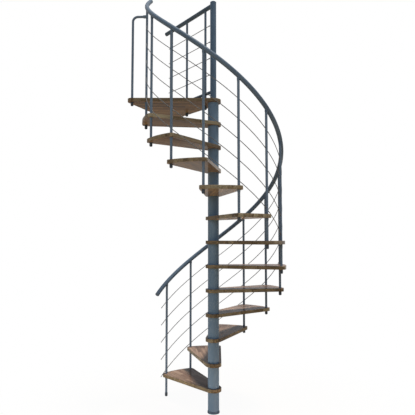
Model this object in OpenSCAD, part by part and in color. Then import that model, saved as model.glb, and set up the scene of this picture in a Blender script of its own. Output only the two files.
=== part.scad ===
// Spiral staircase: wooden treads on a sleeved centre pole, with round balusters,
// a helical handrail, helical filler wires and a fixed landing at the top.
// Lengths are in millimetres. X runs to the viewer's right, Y away from the viewer, Z up.
// The origin lies on the pole axis at floor level, on the underside of the base flange.
// Steps are counted from the floor: baluster 0 stands on the floor and baluster k stands
// in the rear corner of tread k, then passes up through the front corner of tread k + 1.

/* [Stair] */
// Height from one tread top to the next
rise = 230; // [210:1:240]
// Angle between two neighbouring balusters, seen from above
step_angle = 26.19; // [24:0.01:28]

/* [Treads] */
// Thickness of a tread and of the landing
tread_thickness = 32; // [28:1:45]
// Distance from the pole axis to the outer edge of a tread
tread_radius = 691; // [640:1:760]
// Radius of the rounded outer corners of a tread
corner_radius = 36; // [30:1:45]
// Radius of the rounded inner end of a tread, around the pole
hub_radius = 75; // [64:1:84]

/* [Pole] */
// Outside diameter of the spacer sleeves between the treads
sleeve_diameter = 106; // [92:1:112]
// Diameter of the post that carries the sleeves and stands up above the landing
post_diameter = 60; // [52:1:66]
// Height of the post above the landing, with its cap
post_height = 998; // [960:1:1100]
// Largest diameter of the flange on the floor
base_diameter = 115; // [112:1:140]
// Height of the flange on the floor
base_height = 24; // [18:1:40]

/* [Railing] */
// Diameter of the balusters and of the guard rod
baluster_diameter = 23; // [18:1:26]
// Diameter of the handrails
handrail_diameter = 42; // [36:1:46]
// Height of the handrail centre above tread k, measured at baluster k
handrail_height = 1172; // [1100:1:1240]
// Diameter of the filler wires
wire_diameter = 7; // [5:0.5:9]
// Vertical distance from the handrail centre to the first wire
first_wire_drop = 200; // [160:1:220]

/* [Landing] */
// How far the landing's front corner lies beyond the baluster circle
landing_reach = 139; // [120:1:180]
// How far the landing's back corner lies beyond the baluster circle
back_reach = 90; // [70:1:120]
// Angle from the last baluster back to the landing railing
landing_angle = 54.65; // [46:0.01:58]
// Vertical distance from the top of the post to the centre of the landing handrail
landing_rail_drop = 30; // [30:1:80]
// Vertical distance from the handrail centre to the guard rod, at the last baluster
guard_drop = 115; // [90:1:160]

/* [Hidden] */
$fn = 48;
tread_count = 12;
wire_count = 5;
landing_wire_count = 4;
first_angle = 137.73;

// Radial room between a rod and the hole it passes through
gap = 0.2;
// Radial room round a wire, which curves through a straight hole
wire_room = 0.35;
// Straight sides start this far inside the round corners, so that the two cross cleanly
seam = 0.01;

// Clear height of the lowest wire above the upper tread at a baluster
lowest_wire_gap = 44;
wire_step = (handrail_height - first_wire_drop - rise - lowest_wire_gap) / (wire_count - 1);

// The handrail and the wires run past the first and the last baluster, in steps
rail_radius = tread_radius - corner_radius;
rail_slope = atan(rise / (rail_radius * step_angle * PI / 180));
rail_start = -0.51;
rail_end = 12.6;
wire_start = -0.27;
wire_end = 12.1;
rings_per_step = 8;

// The landing's front corner lies a little past the last baluster
front_turn = 0.92;
landing_corner = 42;
landing_top = rise * (tread_count + 1);
landing_under = landing_top - tread_thickness;
last_angle = first_angle - step_angle * tread_count;
front_radius = rail_radius + landing_reach;
front_angle = last_angle - front_turn;
back_radius = rail_radius + back_reach;
back_angle = last_angle - landing_angle;
front_corner = front_radius * [cos(front_angle), sin(front_angle)];
back_corner = back_radius * [cos(back_angle), sin(back_angle)];

// Landing railing: balusters measured from the pole axis, the last one in the back corner
inner_baluster = 124;
middle_baluster = 440;
landing_baluster_radii = [inner_baluster, middle_baluster, back_radius];
rail_overhang = 95;
landing_rail_end = back_radius + rail_overhang;
landing_rail_z = landing_top + post_height - landing_rail_drop;
lower_rail_diameter = baluster_diameter + 7;
lower_rail_height = 88;
lower_rail_z = landing_top + lower_rail_height;
lower_rail_overhang = 20;
landing_wire_low = 270;
landing_wire_drop = 193;
landing_wire_inner = 68;
landing_wire_tail = 38;
landing_wire_end = back_radius + landing_wire_tail;

foot_wall = 2.5;
foot_diameter = baluster_diameter + 2 * foot_wall;
foot_height = 38;
foot_floor = 8;
foot_edge = 9;
collar_wall = 1.8;
collar_diameter = baluster_diameter + 2 * collar_wall;
collar_height = 22;
saddle_height = 16;
notch_depth = 10;
ferrule_length = 12;
ferrule_diameter = wire_diameter + 4;
guard_bend = 50;
guard_z = handrail_height + rise * tread_count - guard_drop;
rod_end_gap = 8;
connector_diameter = baluster_diameter + 7;
connector_length = 34;
connector_bite = 2;
cap_height = 8;
cap_chamfer = 3;
base_lip = 10;
sleeve_length = rise - tread_thickness;

// Plan angle of baluster k, and the height of the handrail's centre there
function stair_angle(k) = first_angle - step_angle * k;
function rail_z(k) = handrail_height + rise * k;
function around(radius, angle) = radius * [cos(angle), sin(angle)];
function on_helix(k, drop) =
    [rail_radius * cos(stair_angle(k)), rail_radius * sin(stair_angle(k)), rail_z(k) - drop];
function wire_drop(i) = first_wire_drop + wire_step * i;
function landing_wire_z(i) = landing_top + landing_wire_low
    + i * (landing_rail_z - landing_top - landing_wire_drop - landing_wire_low) / (landing_wire_count - 1);

// Direction square to the straight side that joins two corner circles, on its outer side
function side_normal(a, ra, b, rb) =
    let (d = b - a, turn = atan2(d[1], d[0]) - acos((ra - rb) / norm(d)))
    [cos(turn), sin(turn)];

// A ring of points square to the helix at step k
function helix_ring(k, drop, radius, sides) =
    let (a = stair_angle(k), middle = on_helix(k, drop))
    [for (i = [0 : sides - 1])
        let (t = 360 * i / sides)
        middle + radius * cos(t) * [cos(a), sin(a), 0]
               + radius * sin(t) * [-sin(rail_slope) * sin(a), sin(rail_slope) * cos(a), cos(rail_slope)]];

// A round bar along the helix, from step k0 to step k1
module helix_bar(k0, k1, drop, radius, sides) {
    stations = concat([k0],
        [for (j = [ceil(k0 * rings_per_step) : floor(k1 * rings_per_step)]) j / rings_per_step], [k1]);
    last = len(stations) - 1;
    corners = [for (k = stations) each helix_ring(k, drop, radius, sides)];
    skin = [for (j = [0 : last - 1]) for (i = [0 : sides - 1])
        let (a = j * sides + i, b = j * sides + (i + 1) % sides)
        each [[a, b + sides, b], [a, a + sides, b + sides]]];
    lower_end = [[for (i = [0 : sides - 1]) i]];
    upper_end = [[for (i = [sides - 1 : -1 : 0]) last * sides + i]];
    polyhedron(points = corners, faces = concat(lower_end, skin, upper_end), convexity = 10);
}

// Places things on the helix at step k with their Z axis along it, pointing uphill
module along_helix(k, drop) {
    translate(on_helix(k, drop))
        rotate([0, 90 - rail_slope, stair_angle(k) - 90])
            children();
}

// Places things at baluster k
module at_baluster(k, z) {
    translate([rail_radius * cos(stair_angle(k)), rail_radius * sin(stair_angle(k)), z])
        children();
}

// Places things above the landing railing's line, with their Z axis up
module at_landing_rail(radius, z) {
    translate([radius * cos(back_angle), radius * sin(back_angle), z])
        children();
}

// A round bar lying along the landing railing
module landing_bar(from_radius, to_radius, z, radius) {
    translate([from_radius * cos(back_angle), from_radius * sin(back_angle), z])
        rotate([0, 90, back_angle])
            cylinder(h = to_radius - from_radius, r = radius);
}

// A closed foot that caps the lower end of a baluster, with its top at height zero
module foot_cap() {
    edge = foot_edge;
    difference() {
        translate([0, 0, -foot_height])
            rotate_extrude()
                union() {
                    square([foot_diameter / 2 - edge, foot_height]);
                    translate([0, edge])
                        square([foot_diameter / 2, foot_height - edge]);
                    translate([foot_diameter / 2 - edge, edge])
                        intersection() {
                            circle(edge);
                            translate([0, -edge])
                                square(edge);
                        }
                }
        translate([0, 0, foot_floor - foot_height])
            cylinder(h = foot_height, d = baluster_diameter + 2 * gap);
    }
}

// Flared flange that holds the pole on the floor
module base_flange() {
    color([0.26, 0.31, 0.35])
        difference() {
            rotate_extrude()
                polygon([[0, 0], [base_diameter / 2, 0], [base_diameter / 2, base_lip],
                    [sleeve_diameter / 2, base_height], [0, base_height]]);
            translate([0, 0, -1])
                cylinder(h = base_height + 2, d = post_diameter + 2 * gap);
        }
}

// Post that runs from the floor through every sleeve and tread to the landing railing
module centre_post() {
    color([0.38, 0.43, 0.48])
        cylinder(h = landing_top + post_height - cap_height, d = post_diameter);
}

// Chamfered cap on the post
module post_cap() {
    color([0.38, 0.43, 0.48])
        translate([0, 0, landing_top + post_height - cap_height])
            rotate_extrude()
                polygon([[0, 0], [post_diameter / 2, 0], [post_diameter / 2, cap_height - cap_chamfer],
                    [post_diameter / 2 - cap_chamfer, cap_height], [0, cap_height]]);
}

// Spacer sleeves, one under each tread and one under the landing
module pole_sleeves() {
    color([0.31, 0.36, 0.41])
        for (n = [0 : tread_count])
            translate([0, 0, n == 0 ? base_height : rise * n])
                difference() {
                    cylinder(h = n == 0 ? sleeve_length - base_height : sleeve_length, d = sleeve_diameter);
                    translate([0, 0, -1])
                        cylinder(h = rise, d = post_diameter + 2 * gap);
                }
}

// Outline of tread n in plan: hub, two rounded corners, straight sides and a round outer edge
module tread_outline(n) {
    front = around(rail_radius, stair_angle(n - 1));
    rear = around(rail_radius, stair_angle(n));
    rear_side = side_normal([0, 0], hub_radius, rear, corner_radius);
    front_side = side_normal(front, corner_radius, [0, 0], hub_radius);
    circle(hub_radius);
    translate(front)
        circle(corner_radius);
    translate(rear)
        circle(corner_radius);
    polygon([(hub_radius - seam) * rear_side, rear + (corner_radius - seam) * rear_side, rear, front,
        front + (corner_radius - seam) * front_side, (hub_radius - seam) * front_side]);
    intersection() {
        circle(tread_radius - seam, $fn = 180);
        polygon([[0, 0], around(1.2 * tread_radius, stair_angle(n)),
            around(1.2 * tread_radius, stair_angle(n - 1))]);
    }
}

// Tread n, drilled for the post and for the balusters at its two outer corners
module tread(n) {
    color([0.50, 0.38, 0.27])
        translate([0, 0, rise * n - tread_thickness])
            linear_extrude(height = tread_thickness)
                difference() {
                    tread_outline(n);
                    circle(d = post_diameter + 2 * gap);
                    for (k = [n - 1, n])
                        translate(around(rail_radius, stair_angle(k)))
                            circle(d = baluster_diameter + 2 * gap);
                }
}

// Landing board, drilled for the post, the last baluster, the landing railing and the guard rod
module landing() {
    back_side = side_normal([0, 0], hub_radius, back_corner, landing_corner);
    wall_side = side_normal(back_corner, landing_corner, front_corner, landing_corner);
    front_side = side_normal(front_corner, landing_corner, [0, 0], hub_radius);
    color([0.50, 0.38, 0.27])
        translate([0, 0, landing_under])
            linear_extrude(height = tread_thickness)
                difference() {
                    union() {
                        circle(hub_radius);
                        translate(back_corner)
                            circle(landing_corner);
                        translate(front_corner)
                            circle(landing_corner);
                        polygon([(hub_radius - seam) * back_side,
                            back_corner + (landing_corner - seam) * back_side,
                            back_corner + (landing_corner - seam) * wall_side,
                            front_corner + (landing_corner - seam) * wall_side,
                            front_corner + (landing_corner - seam) * front_side,
                            (hub_radius - seam) * front_side]);
                    }
                    circle(d = post_diameter + 2 * gap);
                    translate(around(rail_radius, last_angle))
                        circle(d = baluster_diameter + 2 * gap);
                    translate(front_corner)
                        circle(d = baluster_diameter + 2 * gap);
                    for (r = landing_baluster_radii)
                        translate(around(r, back_angle))
                            circle(d = baluster_diameter + 2 * gap);
                }
}

// Balusters, notched to the handrail at the top and drilled for the wires
module balusters() {
    color([0.29, 0.34, 0.39])
        for (k = [0 : tread_count])
            difference() {
                bottom = (k == 0 ? foot_height : rise * k - tread_thickness) - foot_height + foot_floor;
                at_baluster(k, bottom)
                    cylinder(h = rail_z(k) - notch_depth - bottom, d = baluster_diameter);
                along_helix(k, 0)
                    cylinder(h = 4 * handrail_diameter, d = handrail_diameter + gap, center = true);
                for (i = [0 : wire_count - 1])
                    along_helix(k, wire_drop(i))
                        cylinder(h = 4 * baluster_diameter, r = wire_diameter / 2 + wire_room, center = true);
            }
}

// Feet under the treads, on the floor, and under the landing
module baluster_feet() {
    color([0.10, 0.11, 0.12]) {
        for (k = [0 : tread_count])
            at_baluster(k, k == 0 ? foot_height : rise * k - tread_thickness)
                foot_cap();
        for (r = landing_baluster_radii)
            at_landing_rail(r, landing_under)
                foot_cap();
        translate([front_corner[0], front_corner[1], landing_under])
            foot_cap();
    }
}

// Collars that carry the front corner of each tread and of the landing on a baluster
module tread_collars() {
    color([0.13, 0.15, 0.17])
        for (k = [0 : tread_count])
            at_baluster(k, rise * (k + 1) - tread_thickness - collar_height)
                difference() {
                    cylinder(h = collar_height, d = collar_diameter);
                    translate([0, 0, -1])
                        cylinder(h = collar_height + 2, d = baluster_diameter + 2 * gap);
                }
}

// Helical handrail
module handrail() {
    color([0.36, 0.40, 0.45])
        helix_bar(rail_start, rail_end, 0, handrail_diameter / 2, 20);
}

// Saddles that hold the handrail on the balusters
module rail_saddles() {
    top = handrail_diameter / 2 / cos(rail_slope);
    color([0.20, 0.23, 0.26])
        for (k = [0 : tread_count])
            difference() {
                at_baluster(k, rail_z(k) - top - saddle_height)
                    cylinder(h = saddle_height + top / 2, d = collar_diameter);
                at_baluster(k, rail_z(k) - top - saddle_height - 1)
                    cylinder(h = 2 * rise, d = baluster_diameter + 2 * gap);
                along_helix(k, 0)
                    cylinder(h = 4 * handrail_diameter, d = handrail_diameter + gap, center = true);
            }
}

// Filler wire i, threaded through every baluster
module wire(i) {
    color([0.55, 0.56, 0.58])
        helix_bar(wire_start, wire_end, wire_drop(i), wire_diameter / 2, 6);
}

// End caps of the wires: at the upper end of each filler wire and beside the post
module wire_ends() {
    color([0.13, 0.15, 0.17]) {
        for (i = [0 : wire_count - 1])
            along_helix(wire_end, wire_drop(i))
                cylinder(h = ferrule_length, d = ferrule_diameter);
        for (i = [0 : landing_wire_count - 1])
            landing_bar(landing_wire_inner - ferrule_length, landing_wire_inner, landing_wire_z(i),
                ferrule_diameter / 2);
    }
}

// Level handrail of the landing, coped to the post
module landing_handrail() {
    color([0.36, 0.40, 0.45])
        difference() {
            landing_bar(post_diameter / 4, landing_rail_end, landing_rail_z, handrail_diameter / 2);
            translate([0, 0, landing_rail_z - handrail_diameter])
                cylinder(h = 2 * handrail_diameter, d = post_diameter + gap);
        }
}

// Balusters of the landing, coped to its handrail and drilled for its wires
module landing_balusters() {
    bottom = landing_under - foot_height + foot_floor;
    color([0.29, 0.34, 0.39])
        for (r = landing_baluster_radii)
            difference() {
                at_landing_rail(r, bottom)
                    cylinder(h = landing_rail_z - notch_depth - bottom, d = baluster_diameter);
                landing_bar(r - baluster_diameter, r + baluster_diameter, landing_rail_z,
                    handrail_diameter / 2 + gap / 2);
                for (i = [0 : landing_wire_count - 1])
                    landing_bar(r - baluster_diameter, r + baluster_diameter, landing_wire_z(i),
                        wire_diameter / 2 + gap);
            }
}

// Level wires of the landing, threaded through its balusters
module landing_wires() {
    color([0.55, 0.56, 0.58])
        for (i = [0 : landing_wire_count - 1])
            landing_bar(landing_wire_inner, landing_wire_end, landing_wire_z(i), wire_diameter / 2);
}

// Low rail of the landing, drilled for its balusters and coped to the post
module landing_lower_rail() {
    color([0.22, 0.25, 0.28])
        difference() {
            landing_bar(post_diameter / 4, back_radius + lower_rail_overhang, lower_rail_z,
                lower_rail_diameter / 2);
            translate([0, 0, lower_rail_z - lower_rail_diameter])
                cylinder(h = 2 * lower_rail_diameter, d = post_diameter + gap);
            for (r = landing_baluster_radii)
                at_landing_rail(r, lower_rail_z - lower_rail_diameter)
                    cylinder(h = 2 * lower_rail_diameter, d = baluster_diameter + 2 * gap);
        }
}

// Places things at the guard rod's foot, with the X axis towards the last baluster
module at_guard(z) {
    last_baluster = around(rail_radius, last_angle);
    run = last_baluster - front_corner;
    translate([front_corner[0], front_corner[1], z])
        rotate([0, 0, atan2(run[1], run[0])])
            children();
}

guard_run = norm(around(rail_radius, last_angle) - front_corner);

// Guard rod: up from the landing's front corner, bent over to the last baluster
module guard_rod() {
    bottom = landing_under - foot_height + foot_floor;
    bend_z = guard_z - guard_bend;
    color([0.29, 0.34, 0.39])
        at_guard(0) {
            translate([0, 0, bottom])
                cylinder(h = bend_z - bottom, d = baluster_diameter);
            translate([guard_bend, 0, bend_z])
                rotate([90, 0, 0])
                    rotate([0, 0, 90])
                        rotate_extrude(angle = 90)
                            translate([guard_bend, 0])
                                circle(d = baluster_diameter);
            translate([guard_bend, 0, bend_z + guard_bend])
                rotate([0, 90, 0])
                    cylinder(h = guard_run - guard_bend - baluster_diameter / 2 - rod_end_gap,
                        d = baluster_diameter);
        }
}

// Socket that joins the guard rod to the last baluster
module guard_connector() {
    rod_end = guard_run - baluster_diameter / 2 - rod_end_gap;
    color([0.20, 0.23, 0.26])
        difference() {
            at_guard(guard_z)
                translate([guard_run - connector_length - connector_bite, 0, 0])
                    rotate([0, 90, 0])
                        cylinder(h = connector_length, d = connector_diameter);
            at_guard(guard_z)
                translate([rod_end - guard_run, 0, 0])
                    rotate([0, 90, 0])
                        cylinder(h = guard_run, d = baluster_diameter + 2 * gap);
            at_baluster(tread_count, guard_z - 2 * connector_diameter)
                cylinder(h = 4 * connector_diameter, d = baluster_diameter + gap);
        }
}

base_flange();
centre_post();
pole_sleeves();
post_cap();
tread(1);  // tread_01
tread(2);  // tread_02
tread(3);  // tread_03
tread(4);  // tread_04
tread(5);  // tread_05
tread(6);  // tread_06
tread(7);  // tread_07
tread(8);  // tread_08
tread(9);  // tread_09
tread(10);  // tread_10
tread(11);  // tread_11
tread(12);  // tread_12
landing();
balusters();
baluster_feet();
tread_collars();
handrail();
rail_saddles();
wire(0);  // wire_1
wire(1);  // wire_2
wire(2);  // wire_3
wire(3);  // wire_4
wire(4);  // wire_5
wire_ends();
landing_handrail();
landing_balusters();
landing_wires();
landing_lower_rail();
guard_rod();
guard_connector();
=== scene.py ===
# %% [markdown]
# # A spiral staircase, dressed for its picture
# The stair is a kit: wooden treads threaded on a sleeved pole, round steel balusters through
# their outer corners, one helical handrail, and thin wires that fill the railing. Its solids come
# in as a fixed frame, at their real size in metres, so this lesson is about looks: round edges,
# smooth shading, finishes made from nodes, a camera and a plain studio.

# %% Load the solids
import math

import bpy
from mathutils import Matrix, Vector


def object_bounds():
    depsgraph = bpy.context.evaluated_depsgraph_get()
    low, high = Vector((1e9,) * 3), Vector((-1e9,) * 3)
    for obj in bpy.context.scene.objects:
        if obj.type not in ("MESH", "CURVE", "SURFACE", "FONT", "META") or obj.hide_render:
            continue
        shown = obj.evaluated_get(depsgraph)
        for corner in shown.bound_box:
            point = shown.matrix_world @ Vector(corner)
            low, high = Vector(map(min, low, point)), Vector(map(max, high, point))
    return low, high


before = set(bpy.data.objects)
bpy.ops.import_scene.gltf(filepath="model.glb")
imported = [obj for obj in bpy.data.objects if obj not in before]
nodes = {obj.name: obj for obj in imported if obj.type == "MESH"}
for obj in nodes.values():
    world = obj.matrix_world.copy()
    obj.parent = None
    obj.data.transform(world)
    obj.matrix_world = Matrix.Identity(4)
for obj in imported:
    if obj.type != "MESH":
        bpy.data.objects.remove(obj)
cad_low, cad_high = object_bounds()
bpy.ops.object.select_all(action="DESELECT")
print("nodes:", len(nodes), "height:", round(cad_high.z - cad_low.z, 3))

# %% [markdown]
# ## The directions of the boards
# The finishes need to know which way each tread points, because the grain of a board runs along
# it. The treads follow each other by one fixed angle, so one formula gives every direction.

# %% Tread directions
TREADS = 12
FIRST_ANGLE = 137.73
STEP_ANGLE = 26.19
LANDING_ANGLE = 182.5


def tread_angle(number):
    """Plan angle of the middle of a tread, in degrees."""
    return FIRST_ANGLE - STEP_ANGLE * (number - 0.5)


wood_nodes = {f"tread_{n:02d}": tread_angle(n) for n in range(1, TREADS + 1)}
wood_nodes["landing"] = LANDING_ANGLE
print("boards:", len(wood_nodes))

# %% [markdown]
# ## Small helpers for finishes
# A finish is a small network of nodes. Wiring each node by hand takes many lines, so these helpers
# add a node with its settings in one call. Another turns colours that are given from 0
# to 255 into the linear values that shaders use.


# %% Colour and node helpers
def linear(red, green, blue):
    """A colour given in screen values from 0 to 255, as linear red, green, blue and alpha."""
    # The constants are those of the standard screen curve.
    channels = []
    for value in (red, green, blue):
        share = value / 255
        low = share / 12.92
        high = ((share + 0.055) / 1.055) ** 2.4
        channels.append(low if share <= 0.04045 else high)
    return (*channels, 1.0)


def add(tree, kind, inputs=None, **settings):
    """A node of that kind. Inputs are values, or sockets of other nodes to link from."""
    made = tree.nodes.new(kind)
    for key, value in settings.items():
        setattr(made, key, value)
    for key, value in (inputs or {}).items():
        if isinstance(value, bpy.types.NodeSocket):
            tree.links.new(value, made.inputs[key])
        else:
            made.inputs[key].default_value = value
    return made


def math_node(tree, operation, first, second=0.0):
    """One arithmetic step on two numbers or sockets."""
    made = add(tree, "ShaderNodeMath", {0: first, 1: second}, operation=operation)
    return made.outputs["Value"]


print("middle grey on screen is", round(linear(128, 128, 128)[0], 3), "of white")

# %% [markdown]
# ## Steps that both finishes take
# Wood and paint both need noise, colours picked along a ramp, and a roughness that wanders. A Mix
# node has sockets for numbers, vectors and colours side by side, so the colour ones get names.

# %% Pattern helpers
COLOUR_A = 6
COLOUR_B = 7
COLOUR_RESULT = 2


def noise(tree, coordinates, settings):
    """Cloudy noise between zero and one."""
    made = add(tree, "ShaderNodeTexNoise", {"Vector": coordinates, **settings})
    return made.outputs["Fac"]


def ramp(tree, factor, stops):
    """A colour ramp over the given (position, colour) stops."""
    made = add(tree, "ShaderNodeValToRGB", {"Fac": factor})
    elements = made.color_ramp.elements
    while len(elements) < len(stops):
        elements.new(1.0)
    for element, (position, colour) in zip(elements, stops):
        element.position = position
        element.color = colour
    return made.outputs["Color"]


def multiply(tree, first, second):
    """Two colours multiplied, so that the second tints the first."""
    made = add(tree, "ShaderNodeMix", {
        "Factor": 1.0,
        COLOUR_A: first,
        COLOUR_B: second,
    }, data_type="RGBA", blend_type="MULTIPLY")
    return made.outputs[COLOUR_RESULT]


def between(tree, factor, low, high):
    """A number that goes from low to high as the factor goes from zero to one."""
    made = add(tree, "ShaderNodeMapRange", {"Value": factor, "To Min": low, "To Max": high})
    return made.outputs["Result"]


print("pattern helpers: noise, ramp, multiply, between")

# %% [markdown]
# ## The start and the end of a finish
# Each finish starts as an empty surface shader. Its patterns are linked at the end, and what is
# the same all over the surface is set on the shader's own sockets, where an export can read it.


# %% Finish helpers
def start_finish(name):
    """A new material with an empty surface shader, ready for its textures."""
    material = bpy.data.materials.new(name)
    material.use_nodes = True
    tree = material.node_tree
    tree.nodes.clear()
    output = tree.nodes.new("ShaderNodeOutputMaterial")
    shader = tree.nodes.new("ShaderNodeBsdfPrincipled")
    tree.links.new(shader.outputs["BSDF"], output.inputs["Surface"])
    return material, tree, shader


def end_finish(tree, shader, colour, roughness, relief, plain_values):
    """Link the patterns to the shader and set the values that don't vary."""
    tree.links.new(colour, shader.inputs["Base Color"])
    tree.links.new(roughness, shader.inputs["Roughness"])
    tree.links.new(relief.outputs["Normal"], shader.inputs["Normal"])
    for socket, value in plain_values.items():
        shader.inputs[socket].default_value = value


def coat_piece(name, finish):
    """Give a solid one finish all over."""
    slots = nodes[name].data.materials
    slots.clear()
    slots.append(finish)


print("finish helpers: start_finish, end_finish, coat_piece")

# %% [markdown]
# ## The staves of a board
# Such treads are glued up from staves: narrow strips side by side, each a little lighter or
# darker than the next. A picture of wood would slide over the edges, so the pattern is solid: it
# is worked out from the place of each point in the board, and the sides show the same strips.
# Rows of strips come from rounding down the place across the board, and their ends from rounding
# down the place along it, shifted by chance from row to row.

# %% Stave pattern
STAVE_WIDTH = 0.047
STAVE_LENGTH = 0.42
SEED_SHIFT = (0.37, 0.013, 0.0)


def staves(tree, angle, seed):
    """Place along the board, the chance of each stave, and the place across it from 0 to 1."""
    place = add(tree, "ShaderNodeTexCoord")
    turned = add(tree, "ShaderNodeMapping", {
        "Vector": place.outputs["Object"],
        "Rotation": (0, 0, -math.radians(angle)),
        "Location": [shift * seed for shift in SEED_SHIFT],
    })
    axes = add(tree, "ShaderNodeSeparateXYZ", {"Vector": turned.outputs["Vector"]})
    rows = math_node(tree, "DIVIDE", axes.outputs["Y"], STAVE_WIDTH)
    row = math_node(tree, "FLOOR", rows)
    row_chance = add(tree, "ShaderNodeTexWhiteNoise", {"W": row}, noise_dimensions="1D")
    along = math_node(tree, "DIVIDE", axes.outputs["X"], STAVE_LENGTH)
    piece = math_node(tree, "FLOOR", math_node(tree, "ADD", along, row_chance.outputs["Value"]))
    stave = add(tree, "ShaderNodeCombineXYZ", {"X": row, "Y": piece, "Z": seed})
    chance = add(tree, "ShaderNodeTexWhiteNoise", {"Vector": stave.outputs["Vector"]})
    return turned.outputs["Vector"], chance, math_node(tree, "FRACT", rows)


print("stave:", STAVE_WIDTH, "by", STAVE_LENGTH, "m")

# %% [markdown]
# ## The colour of the wood
# Every stave takes one tone by chance. Grain bands darken it, in noise that is drawn out along
# the board. Thin dark lines mark the glue. The underside, the sawn sides and the top then take
# tints by which way the surface faces, and these are painted light: painted shade under the board,
# a painted cool sky reflection on the top, and on the sides partly their own sawn tone and partly
# painted light.

# %% Wood colour
STAVE_TONES = [
    (0.0, linear(112, 86, 60)),
    (0.3, linear(133, 102, 72)),
    (0.7, linear(150, 118, 84)),
    (1.0, linear(169, 138, 102)),
]
GRAIN_TONES = [
    (0.30, linear(168, 158, 150)),
    (0.50, linear(230, 226, 222)),
    (0.68, linear(255, 252, 248)),
]
WHITE = (1.0, 1.0, 1.0, 1.0)
GLUE_LINE = [(0.475, WHITE), (0.495, linear(190, 182, 174))]
# The face tints are painted light: painted shade on the underside, a painted cool sky reflection on
# the top, and on the sides partly the sawn sides' own tone and partly painted light.
UNDERSIDE_PAINTED_SHADE = (0.52, 0.54, 0.41, 1.0)
SIDE_TONE_AND_PAINTED_LIGHT = (0.75, 1.03, 1.37, 1.0)
TOP_PAINTED_SKY_REFLECTION = (0.93, 1.02, 1.45, 1.0)
FACE_TINTS_AND_PAINTED_LIGHT = [(0.15, UNDERSIDE_PAINTED_SHADE), (0.30, SIDE_TONE_AND_PAINTED_LIGHT), (0.70, SIDE_TONE_AND_PAINTED_LIGHT), (0.85, TOP_PAINTED_SKY_REFLECTION)]


def face_tint_and_painted_light(tree):
    """The tint of the underside, a side or the top, by the tilt of the surface: painted shade
    below, a painted cool sky reflection on top, partly painted light on the sides.
    """
    facing = add(tree, "ShaderNodeNewGeometry")
    tilt = add(tree, "ShaderNodeSeparateXYZ", {"Vector": facing.outputs["Normal"]})
    level = add(tree, "ShaderNodeMapRange", {"Value": tilt.outputs["Z"], "From Min": -1.0})
    return ramp(tree, level.outputs["Result"], FACE_TINTS_AND_PAINTED_LIGHT)


def wood_colour(tree, chance, grain, across):
    """Stave tone, grain, face tint with its painted shade and reflection, and glue line, multiplied
    in that order.
    """
    tone = ramp(tree, chance.outputs["Value"], STAVE_TONES)
    figured = multiply(tree, tone, ramp(tree, grain, GRAIN_TONES))
    tinted_with_painted_light = multiply(tree, figured, face_tint_and_painted_light(tree))
    off_middle = math_node(tree, "ABSOLUTE", math_node(tree, "SUBTRACT", across, 0.5))
    return multiply(tree, tinted_with_painted_light, ramp(tree, off_middle, GLUE_LINE))


print("stave tones:", len(STAVE_TONES), "grain tones:", len(GRAIN_TONES))

# %% [markdown]
# ## Varnished wood
# Fine pores make a very low relief, and the grain makes the polish uneven. A thin coat of varnish
# and a faint sheen brighten the boards where they are seen at a flat angle. Each board counts on
# from one starting number, so no two boards show the same strips.

# %% Wood finish
GRAIN_STRETCH = (1.6, 26.0, 26.0)
GRAIN_NOISE = {"Scale": 1.5, "Detail": 5.0, "Roughness": 0.6, "Distortion": 0.8}
PORE_STRETCH = (9.0, 320.0, 320.0)
PORE_NOISE = {"Scale": 1.0, "Detail": 2.0}
PORE_RELIEF = {"Strength": 0.06, "Distance": 0.0006}
WOOD_ROUGHNESS = (0.34, 0.46)
VARNISH = {
    "Specular IOR Level": 0.0,
    "Coat Weight": 0.31,
    "Coat IOR": 1.15,
    "Coat Roughness": 0.16,
    "Sheen Weight": 0.16,
    "Sheen Roughness": 0.4,
    "Sheen Tint": (0.92, 0.92, 1.0, 1.0),
}
# Of several starting numbers that were tried, this one gives the nearest strips to the picture.
STAVE_SEED = 17.28


def drawn_noise(tree, coordinates, stretch, settings):
    """Noise that is drawn out along the board."""
    drawn = add(tree, "ShaderNodeMapping", {"Vector": coordinates, "Scale": stretch})
    return noise(tree, drawn.outputs["Vector"], settings)


def wood_finish(name, angle, seed):
    """Varnished staves that run along a board which points that way in plan."""
    material, tree, shader = start_finish(name)
    board_place, chance, across = staves(tree, angle, seed)
    shifted = add(tree, "ShaderNodeVectorMath", {
        0: board_place,
        1: chance.outputs["Color"],
    }, operation="ADD")
    grain = drawn_noise(tree, shifted.outputs["Vector"], GRAIN_STRETCH, GRAIN_NOISE)
    pores = drawn_noise(tree, shifted.outputs["Vector"], PORE_STRETCH, PORE_NOISE)
    colour = wood_colour(tree, chance, grain, across)
    polish = between(tree, grain, *WOOD_ROUGHNESS)
    relief = add(tree, "ShaderNodeBump", {"Height": pores, **PORE_RELIEF})
    end_finish(tree, shader, colour, polish, relief, VARNISH)
    return material


for count, (name, angle) in enumerate(wood_nodes.items()):
    coat_piece(name, wood_finish(f"varnished_wood_{name}", angle, STAVE_SEED + count))
print("wood finishes:", len(wood_nodes))

# %% [markdown]
# ## Blue-grey paint
# The steel carries close tones of one satin paint. One flat colour would look like plastic. Close
# up, paint has a faint orange-peel skin and slightly uneven gloss, so noise moves the tone a
# little, drives the roughness, and makes a very low bump.

# %% Paint finish
TONE_NOISE = {"Scale": 7.0, "Detail": 4.0}
GLOSS_NOISE = {"Scale": 60.0, "Detail": 3.0}
PEEL_NOISE = {"Scale": 900.0, "Detail": 1.0}
PEEL_RELIEF = {"Strength": 0.02, "Distance": 0.0004}
SHADE_STOP = 0.3
COLOUR_STOP = 0.7
GLOSS_SPREAD = 0.06
SATIN_ROUGHNESS = 0.5
SATIN_SHINE = 0.12


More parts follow.
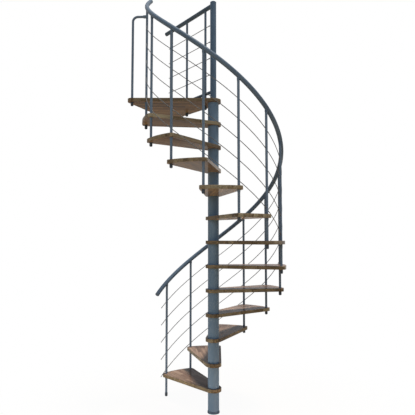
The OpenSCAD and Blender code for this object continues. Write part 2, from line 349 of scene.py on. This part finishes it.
def paint_finish(name, colour, shade, roughness=SATIN_ROUGHNESS, shine=SATIN_SHINE):
    """Satin paint that wanders a little between two tones."""
    material, tree, shader = start_finish(name)
    place = add(tree, "ShaderNodeTexCoord").outputs["Object"]
    clouds = noise(tree, place, TONE_NOISE)
    tone = ramp(tree, clouds, [(SHADE_STOP, shade), (COLOUR_STOP, colour)])
    gloss = noise(tree, place, GLOSS_NOISE)
    polish = between(tree, gloss, roughness - GLOSS_SPREAD, roughness + GLOSS_SPREAD)
    peel = noise(tree, place, PEEL_NOISE)
    relief = add(tree, "ShaderNodeBump", {"Height": peel, **PEEL_RELIEF})
    end_finish(tree, shader, tone, polish, relief, {"Specular IOR Level": shine})
    return material


print("paint roughness:", SATIN_ROUGHNESS, "give or take", GLOSS_SPREAD)

# %% [markdown]
# ## Which metal piece gets which tone
# The pole is the lightest. The post, the helical handrail, the balusters, the landing's rails and
# the base ring take darker copies of the same paint, which are painted shade. The small fittings
# are almost black. The helical handrail is a little smoother and mirrors less, and the wires are
# bare drawn steel, so they are grey and not blue.

# %% Metal tones
RAIL_ROUGHNESS = 0.45
RAIL_SHINE = 0.08
WIRE_ROUGHNESS = 0.4

pole_paint = paint_finish("pole_paint", linear(99, 119, 138), linear(92, 112, 130))
# The post, rail, bar and deep tones are darker copies of the pole's paint: painted shade.
post_painted_shade = paint_finish("post_painted_shade", linear(78, 97, 116), linear(72, 90, 108))
rail_painted_shade = paint_finish(
    "rail_painted_shade", linear(83, 98, 114), linear(76, 90, 105), RAIL_ROUGHNESS, RAIL_SHINE)
bar_painted_shade = paint_finish("bar_painted_shade", linear(93, 108, 124), linear(85, 99, 114))
deep_painted_shade = paint_finish("deep_painted_shade", linear(67, 81, 95), linear(61, 75, 88))
dark_paint = paint_finish("dark_fittings", linear(60, 67, 75), linear(52, 59, 66))
wire_steel = paint_finish("drawn_wire", linear(94, 94, 95), linear(85, 86, 87), WIRE_ROUGHNESS)

METAL_FINISHES = {
    pole_paint: ["pole_sleeves"],
    post_painted_shade: ["centre_post", "post_cap"],
    deep_painted_shade: ["landing_handrail", "landing_lower_rail", "base_flange"],
    rail_painted_shade: ["handrail", "rail_saddles"],
    bar_painted_shade: ["balusters", "landing_balusters", "guard_rod", "guard_connector",
                "tread_collars"],
    dark_paint: ["baluster_feet", "wire_ends"],
    wire_steel: ["wire_1", "wire_2", "wire_3", "wire_4", "wire_5", "landing_wires"],
}

metal = []
for finish, names in METAL_FINISHES.items():
    for name in names:
        coat_piece(name, finish)
        metal.append(nodes[name])
print("metal nodes:", len(metal))

# %% [markdown]
# ## Round edges
# A sawn board is never sharp: its edges are eased with a router. The solids are loose triangles,
# so the modifiers first weld them, then dissolve the flat triangles into whole faces, and only
# then round the edges. The mesh below the modifiers stays as it came.

# %% Eased edges on the boards
WELD_REACH = 0.00002
FLAT_ANGLE = 0.6
EASED_WIDTH = 0.003
EASED_SEGMENTS = 3
EASED_ANGLE = 50


def join_corners(piece):
    """Weld the loose triangles of a solid where their corners meet."""
    weld = piece.modifiers.new("join_corners", "WELD")
    weld.merge_threshold = WELD_REACH


for name in wood_nodes:
    board = nodes[name]
    join_corners(board)
    flat = board.modifiers.new("whole_faces", "DECIMATE")
    flat.decimate_type = "DISSOLVE"
    flat.angle_limit = math.radians(FLAT_ANGLE)
    eased = board.modifiers.new("eased_edges", "BEVEL")
    eased.width = EASED_WIDTH
    eased.segments = EASED_SEGMENTS
    eased.limit_method = "ANGLE"
    eased.angle_limit = math.radians(EASED_ANGLE)
print("eased boards:", len(wood_nodes))

# %% [markdown]
# ## Smooth round bars
# The bars, the pole and the helical rail arrive as many narrow flat facets. Smooth shading blends
# the light from one facet to the next, which needs joined corners, so a weld comes first. Rims and
# bar ends must stay crisp, and a split at every steep edge keeps them so. A wire has few facets,
# so only a very steep edge counts as a rim there.

# %% Smooth metal
RIM_ANGLE = 40
WIRE_RIM_ANGLE = 75

for bar in metal:
    bar.select_set(True)
bpy.context.view_layer.objects.active = metal[0]
bpy.ops.object.shade_smooth()
bpy.ops.object.select_all(action="DESELECT")
for bar in metal:
    join_corners(bar)
    rims = bar.modifiers.new("crisp_rims", "EDGE_SPLIT")
    rims.use_edge_sharp = False
    is_wire = bar.data.materials[0] == wire_steel
    rims.split_angle = math.radians(WIRE_RIM_ANGLE if is_wire else RIM_ANGLE)
print("smooth nodes:", len(metal))

# %% [markdown]
# ## The camera
# The picture was taken from about eye height, a little over four metres in front of the pole,
# looking slightly up. These values come from fitting the balusters and treads to the picture.

# %% Camera
EYE = (-0.0567, -4.3795, 1.6307)
# In degrees: a camera that is turned by LEVEL looks level, and LOOK_UP tips it up from there.
LEVEL = 90
LOOK_UP = 3.9130
IMAGE_SIZE = 415
FOCAL_PIXELS = 453.0
SENSOR_WIDTH = 36.0

camera_data = bpy.data.cameras.new("camera")
camera_data.sensor_width = SENSOR_WIDTH
camera_data.lens = SENSOR_WIDTH * FOCAL_PIXELS / IMAGE_SIZE
camera = bpy.data.objects.new("camera", camera_data)
bpy.context.scene.collection.objects.link(camera)
camera.location = EYE
camera.rotation_euler = (math.radians(LEVEL + LOOK_UP), 0, 0)
bpy.context.scene.camera = camera
print("lens:", round(camera_data.lens, 2))

# %% [markdown]
# ## White behind the stair
# A white background that is made with more light would bleach the stair. So rays from the camera
# and mirror rays see plain white, and all other rays see the softer light of the floor and the
# world. Both of them mix their own shader with white by the kind of ray.


# %% White background helper
def background_rays(tree):
    """One where a ray comes from the camera, a mirror or glass, and zero elsewhere."""
    rays = add(tree, "ShaderNodeLightPath")
    seen = math_node(tree, "MAXIMUM", rays.outputs["Is Camera Ray"], rays.outputs["Is Glossy Ray"])
    return math_node(tree, "MAXIMUM", seen, rays.outputs["Is Transmission Ray"])


def show_white(tree, output_kind, share, own, white):
    """End a node tree with its own shader, mixed with a white one by a share."""
    output = add(tree, output_kind)
    mixed = add(tree, "ShaderNodeMixShader", {"Fac": share, 1: own, 2: white})
    tree.links.new(mixed.outputs["Shader"], output.inputs["Surface"])


print("background:", WHITE[:3])

# %% [markdown]
# ## The floor
# A pale floor carries the shadow, which fades out about two metres from the pole. Its own colour
# is a warm brown that almost only other rays see, so it throws warm light up under the treads.

# %% Floor
FLOOR_SIZE = 60.0
FLOOR_GAP = 0.0005
FLOOR_COLOUR = (0.52, 0.39, 0.24, 1.0)
SHADOW_REACH = 0.6
SHADOW_END = 2.2
WHITE_NEAR = 0.965
WHITE_FAR = 1.0

bpy.ops.mesh.primitive_plane_add(size=FLOOR_SIZE, location=(0, 0, cad_low.z - FLOOR_GAP))
floor = bpy.context.object
floor.name = "studio_floor"
floor_paint = bpy.data.materials.new("floor_paint")
floor_paint.use_nodes = True
tree = floor_paint.node_tree
tree.nodes.clear()
matt = add(tree, "ShaderNodeBsdfDiffuse", {"Color": FLOOR_COLOUR})
white = add(tree, "ShaderNodeEmission", {"Color": WHITE, "Strength": 1.0})
place = add(tree, "ShaderNodeTexCoord")
reach = add(tree, "ShaderNodeVectorMath", {0: place.outputs["Object"]}, operation="LENGTH")
fade = add(tree, "ShaderNodeMapRange", {
    "Value": reach.outputs["Value"],
    "From Min": SHADOW_REACH,
    "From Max": SHADOW_END,
    "To Min": WHITE_NEAR,
    "To Max": WHITE_FAR,
})
share = math_node(tree, "MULTIPLY", background_rays(tree), fade.outputs["Result"])
show_white(tree, "ShaderNodeOutputMaterial", share, matt.outputs["BSDF"], white.outputs["Emission"])
floor.data.materials.append(floor_paint)
print("floor height:", round(floor.location.z, 4))

# %% [markdown]
# ## The world
# The world is a cool fill light from all sides, like the light of an open sky. It keeps the sides
# that no lamp reaches from turning black.

# %% World
FILL_COLOUR = (0.52, 0.74, 1.0, 1.0)
FILL_STRENGTH = 0.36

world = bpy.data.worlds.new("studio")
bpy.context.scene.world = world
world.use_nodes = True
tree = world.node_tree
tree.nodes.clear()
fill = add(tree, "ShaderNodeBackground", {"Color": FILL_COLOUR, "Strength": FILL_STRENGTH})
white = add(tree, "ShaderNodeBackground", {"Color": WHITE, "Strength": 1.0})
show_white(tree, "ShaderNodeOutputWorld", background_rays(tree), fill.outputs["Background"],
           white.outputs["Background"])
print("fill strength:", FILL_STRENGTH)

# %% [markdown]
# ## The lamps
# A sun almost overhead is the main light, and a broad soft lamp fills in from the front. Two small
# lamps beside the foot stand for the light that a bright floor throws back up: one alone would
# leave a bright stripe on the pole.


# %% Lamps
def place_lamp(name, kind, place, aim, strength, colour):
    """A lamp at one place that points at another."""
    data = bpy.data.lights.new(name, kind)
    data.energy = strength
    data.color = colour
    lamp = bpy.data.objects.new(name, data)
    bpy.context.scene.collection.objects.link(lamp)
    lamp.location = place
    lamp.rotation_euler = (Vector(aim) - Vector(place)).to_track_quat("-Z", "Y").to_euler()
    return lamp


def soft_lamp(name, size, **settings):
    """A square lamp that isn't seen itself."""
    lamp = place_lamp(name, "AREA", **settings)
    lamp.data.shape = "SQUARE"
    lamp.data.size = size
    lamp.visible_camera = False


SUN_SPREAD = 14.0
FOOT_LAMP_SIZE = 0.2
FRONT_LAMP_SIZE = 2.2

sun = place_lamp("key_lamp", "SUN", place=(2.1, -0.45, 10.0), aim=(0, 0, 0),
                 strength=4.2, colour=(1.0, 0.95, 0.88))
sun.data.angle = math.radians(SUN_SPREAD)
soft_lamp("left_foot_lamp", FOOT_LAMP_SIZE, place=(-0.95, -0.25, 0.10), aim=(-0.2, 0.2, 0.0),
          strength=5.0, colour=(1.0, 0.91, 0.82))
soft_lamp("right_foot_lamp", FOOT_LAMP_SIZE, place=(0.35, -0.60, 0.10), aim=(0, 0, -0.35),
          strength=3.3, colour=(1.0, 0.80, 0.66))
soft_lamp("front_lamp", FRONT_LAMP_SIZE, place=(-0.8, -4.8, 2.9), aim=(0, 0, 2.3),
          strength=52.5, colour=(0.87, 0.94, 1.0))
bpy.context.scene.view_settings.view_transform = "Standard"
print("lamps:", len(bpy.data.lights))
